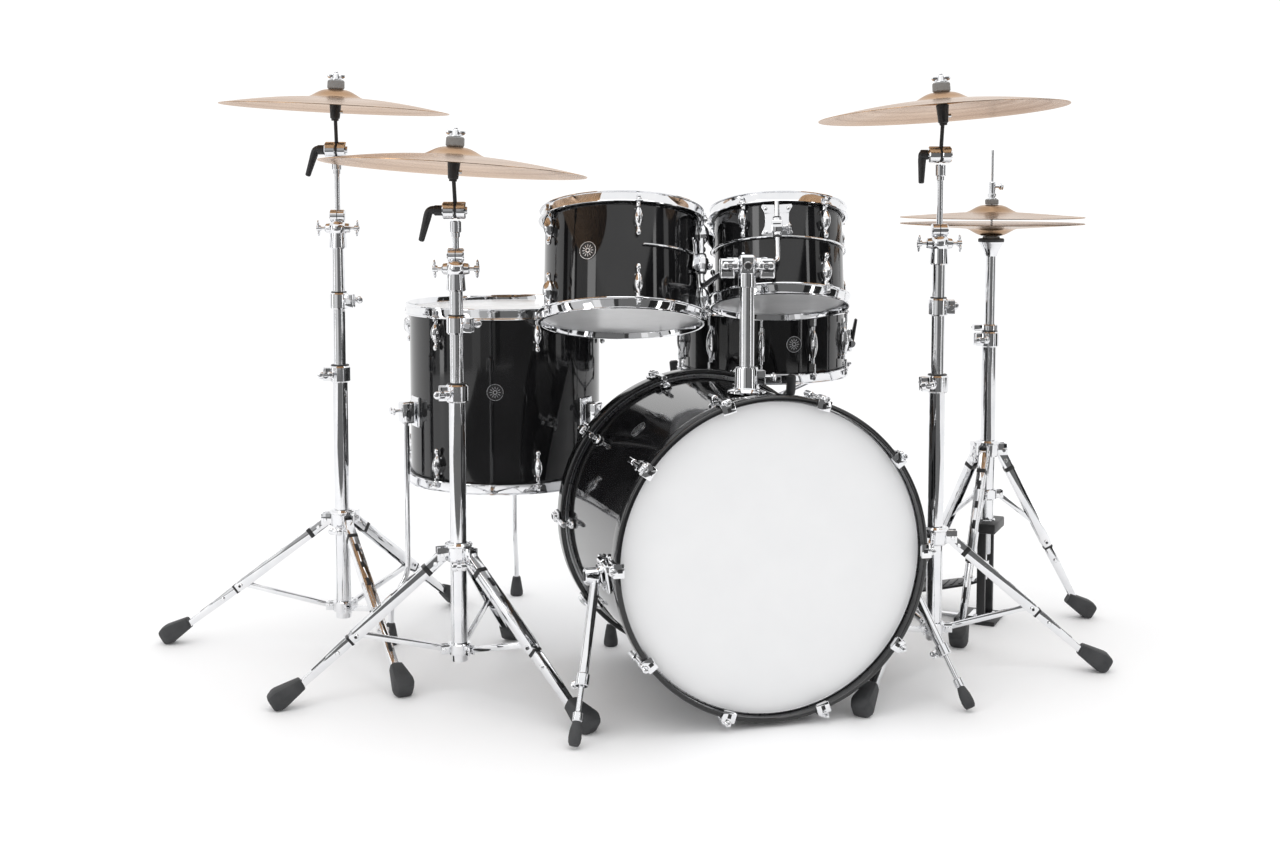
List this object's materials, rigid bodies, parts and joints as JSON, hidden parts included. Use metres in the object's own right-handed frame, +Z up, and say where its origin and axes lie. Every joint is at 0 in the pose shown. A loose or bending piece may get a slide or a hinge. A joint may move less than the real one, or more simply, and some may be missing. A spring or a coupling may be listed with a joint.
{
  "type": "acoustic drum kit",
  "caption": "Acoustic drum kit with a bass drum, rack toms, floor tom, snare drum, boom cymbal stands and a pedal hi-hat, on adjustable chrome hardware.",
  "frame": {"origin": "centre of the whole kit's footprint, on the floor", "axes": "+Z up; the audience side is -Y, so the drummer sits on the +Y side; +X is to the right as seen from the audience, towards the hi-hat"},
  "size_m": [2.0297, 1.066, 1.1971],
  "materials": {
    "black_lacquer": "high-gloss black lacquer on a wooden shell or hoop",
    "chrome": "polished chrome plate",
    "bronze": "lathed and polished cymbal bronze",
    "black_plastic": "fine-grained black moulding",
    "white_film": "coated polyester film",
    "clear_film": "clear polyester film",
    "rubber": "matt black rubber of feet and grips",
    "felt": "pressed grey felt washers"
  },
  "bodies": {
    "kit": {"bass_drum_shell": "black_lacquer", "bass_drum_front_head": "white_film", "bass_drum_batter_head": "clear_film", "bass_drum_front_hoop": "black_lacquer", "bass_drum_rear_hoop": "black_lacquer", "tom_holder_base": "chrome", "floor_tom_shell": "black_lacquer", "floor_tom_top_head": "clear_film", "floor_tom_bottom_head": "clear_film", "floor_tom_top_hoop": "chrome", "floor_tom_bottom_hoop": "chrome", "ride_stand_tripod": "chrome", "floor_side_crash_stand_tripod": "chrome", "hat_side_crash_stand_tripod": "chrome", "hihat_stand_tripod": "chrome", "snare_stand_tripod": "chrome"},
    "left_spur": {"bass_drum_left_spur": "chrome"},
    "right_spur": {"bass_drum_right_spur": "chrome"},
    "tom_post": {"tom_holder_post": "chrome"},
    "mid_tom_arm": {"mid_tom_arm": "chrome"},
    "high_tom_arm": {"high_tom_arm": "chrome"},
    "mid_tom": {"mid_tom_shell": "black_lacquer", "mid_tom_top_head": "clear_film", "mid_tom_bottom_head": "clear_film", "mid_tom_top_hoop": "chrome", "mid_tom_bottom_hoop": "chrome", "mid_tom_mount": "chrome"},
    "high_tom": {"high_tom_shell": "black_lacquer", "high_tom_top_head": "clear_film", "high_tom_bottom_head": "clear_film", "high_tom_top_hoop": "chrome", "high_tom_bottom_hoop": "chrome", "high_tom_mount": "chrome"},
    "floor_tom_left_leg": {"floor_tom_left_leg": "chrome"},
    "floor_tom_rear_leg": {"floor_tom_rear_leg": "chrome"},
    "floor_tom_right_leg": {"floor_tom_right_leg": "chrome"},
    "snare_drum": {"snare_stand_basket": "chrome", "snare_drum_shell": "black_lacquer", "snare_drum_top_head": "white_film", "snare_drum_bottom_head": "clear_film", "snare_drum_top_hoop": "chrome", "snare_drum_bottom_hoop": "chrome"},
    "snare_throw_off": {"snare_drum_throw_off_lever": "black_plastic"},
    "ride_tube": {"ride_upper_tube": "chrome"},
    "ride_boom": {"ride_boom_rod": "chrome"},
    "ride_tilter": {"ride_tilter": "chrome"},
    "ride_cymbal": {"ride_cymbal": "bronze"},
    "floor_side_crash_tube": {"floor_side_crash_upper_tube": "chrome"},
    "floor_side_crash_boom": {"floor_side_crash_boom_rod": "chrome"},
    "floor_side_crash_tilter": {"floor_side_crash_tilter": "chrome"},
    "floor_side_crash_cymbal": {"floor_side_crash_cymbal": "bronze"},
    "hat_side_crash_tube": {"hat_side_crash_upper_tube": "chrome"},
    "hat_side_crash_boom": {"hat_side_crash_boom_rod": "chrome"},
    "hat_side_crash_tilter": {"hat_side_crash_tilter": "chrome"},
    "hat_side_crash_cymbal": {"hat_side_crash_cymbal": "bronze"},
    "hihat_tube": {"hihat_upper_tube": "chrome", "hihat_bottom_cymbal": "bronze"},
    "hihat_rod": {"hihat_pull_rod": "chrome", "hihat_top_cymbal": "bronze"},
    "hihat_pedal": {"hihat_footboard": "black_plastic"}
  },
  "joints": [
    {"name": "left_spur_fold", "type": "hinge", "parent": "kit", "child": "left_spur", "pos_m": [-0.08276, -0.35147, 0.25993], "axis": [-0.967, -0.2546, 0], "range_deg": [0, 55]},
    {"name": "right_spur_fold", "type": "hinge", "parent": "kit", "child": "right_spur", "pos_m": [0.48973, -0.20074, 0.25993], "axis": [-0.967, -0.2546, 0], "range_deg": [0, 55]},
    {"name": "tom_post_height", "type": "slide", "parent": "kit", "child": "tom_post", "axis": [0, 0, 1], "range_m": [-0.01, 0.02]},
    {"name": "mid_tom_arm_tilt", "type": "hinge", "parent": "tom_post", "child": "mid_tom_arm", "pos_m": [0.169, -0.24, 0.818], "axis": [1, 0, 0], "range_deg": [-6, 4]},
    {"name": "high_tom_arm_tilt", "type": "hinge", "parent": "tom_post", "child": "high_tom_arm", "pos_m": [0.223, -0.24, 0.818], "axis": [1, 0, 0], "range_deg": [-6, 4]},
    {"name": "mid_tom_height", "type": "slide", "parent": "mid_tom_arm", "child": "mid_tom", "axis": [0, 0.2756, 0.9613], "range_m": [-0.01, 0.025]},
    {"name": "high_tom_height", "type": "slide", "parent": "high_tom_arm", "child": "high_tom", "axis": [0, 0.2756, 0.9613], "range_m": [0, 0.025]},
    {"name": "floor_tom_left_leg_height", "type": "slide", "parent": "kit", "child": "floor_tom_left_leg", "axis": [0, 0, 1], "range_m": [-0.04, 0.1]},
    {"name": "floor_tom_rear_leg_height", "type": "slide", "parent": "kit", "child": "floor_tom_rear_leg", "axis": [0, 0, 1], "range_m": [-0.04, 0.1]},
    {"name": "floor_tom_right_leg_height", "type": "slide", "parent": "kit", "child": "floor_tom_right_leg", "axis": [0, 0, 1], "range_m": [-0.04, 0.1]},
    {"name": "snare_height", "type": "slide", "parent": "kit", "child": "snare_drum", "axis": [0, 0, 1], "range_m": [0, 0.07]},
    {"name": "snare_throw_off_lever", "type": "hinge", "parent": "snare_drum", "child": "snare_throw_off", "pos_m": [0.4668, 0.312, 0.614], "axis": [0, 1, 0], "range_deg": [0, 80]},
    {"name": "ride_stand_height", "type": "slide", "parent": "kit", "child": "ride_tube", "axis": [0, 0, 1], "range_m": [-0.015, 0.08]},
    {"name": "ride_boom_tilt", "type": "hinge", "parent": "ride_tube", "child": "ride_boom", "pos_m": [-0.348, -0.215, 0.826], "axis": [1, 0, 0], "range_deg": [-8, 25]},
    {"name": "ride_cymbal_tilt", "type": "hinge", "parent": "ride_boom", "child": "ride_tilter", "pos_m": [-0.348, -0.215, 0.919], "axis": [1, 0, 0], "range_deg": [-8, 12]},
    {"name": "ride_cymbal_swivel", "type": "hinge", "parent": "ride_tilter", "child": "ride_cymbal", "pos_m": [-0.348, -0.215, 1.037], "axis": [0.061, 0.0489, 0.9969], "continuous": true},
    {"name": "floor_side_crash_stand_height", "type": "slide", "parent": "kit", "child": "floor_side_crash_tube", "axis": [0, 0, 1], "range_m": [-0.05, 0.1]},
    {"name": "floor_side_crash_boom_tilt", "type": "hinge", "parent": "floor_side_crash_tube", "child": "floor_side_crash_boom", "pos_m": [-0.626, 0.082, 0.893], "axis": [1, 0, 0], "range_deg": [-30, 20]},
    {"name": "floor_side_crash_cymbal_tilt", "type": "hinge", "parent": "floor_side_crash_boom", "child": "floor_side_crash_tilter", "pos_m": [-0.626, 0.082, 1.038], "axis": [1, 0, 0], "range_deg": [-20, 20]},
    {"name": "floor_side_crash_cymbal_swivel", "type": "hinge", "parent": "floor_side_crash_tilter", "child": "floor_side_crash_cymbal", "pos_m": [-0.626, 0.082, 1.161], "axis": [0.0436, 0, 0.999], "continuous": true},
    {"name": "hat_side_crash_stand_height", "type": "slide", "parent": "kit", "child": "hat_side_crash_tube", "axis": [0, 0, 1], "range_m": [-0.02, 0.1]},
    {"name": "hat_side_crash_boom_tilt", "type": "hinge", "parent": "hat_side_crash_tube", "child": "hat_side_crash_boom", "pos_m": [0.584, -0.078, 0.868], "axis": [1, 0, 0], "range_deg": [-25, 30]},
    {"name": "hat_side_crash_cymbal_tilt", "type": "hinge", "parent": "hat_side_crash_boom", "child": "hat_side_crash_tilter", "pos_m": [0.584, -0.078, 1.025], "axis": [1, 0, 0], "range_deg": [-15, 20]},
    {"name": "hat_side_crash_cymbal_swivel", "type": "hinge", "parent": "hat_side_crash_tilter", "child": "hat_side_crash_cymbal", "pos_m": [0.584, -0.078, 1.146], "axis": [-0.0636, 0.0436, 0.997], "continuous": true},
    {"name": "hihat_stand_height", "type": "slide", "parent": "kit", "child": "hihat_tube", "axis": [0, 0, 1], "range_m": [-0.08, 0]},
    {"name": "hihat_rod_travel", "type": "slide", "parent": "kit", "child": "hihat_rod", "axis": [0, 0, 1], "range_m": [-0.0115, 0], "stiffness_N_per_m": 1500, "springref_m": 0.03},
    {"name": "hihat_pedal", "type": "hinge", "parent": "kit", "child": "hihat_pedal", "pos_m": [0.52755, 0.38373, 0.028], "axis": [0.4226, 0.9063, 0], "range_deg": [-2.74, 0]}
  ],
  "couplings": [
    {"joint": "hihat_pedal", "follows": "hihat_rod_travel", "rad_per_m": 4}
  ]
}
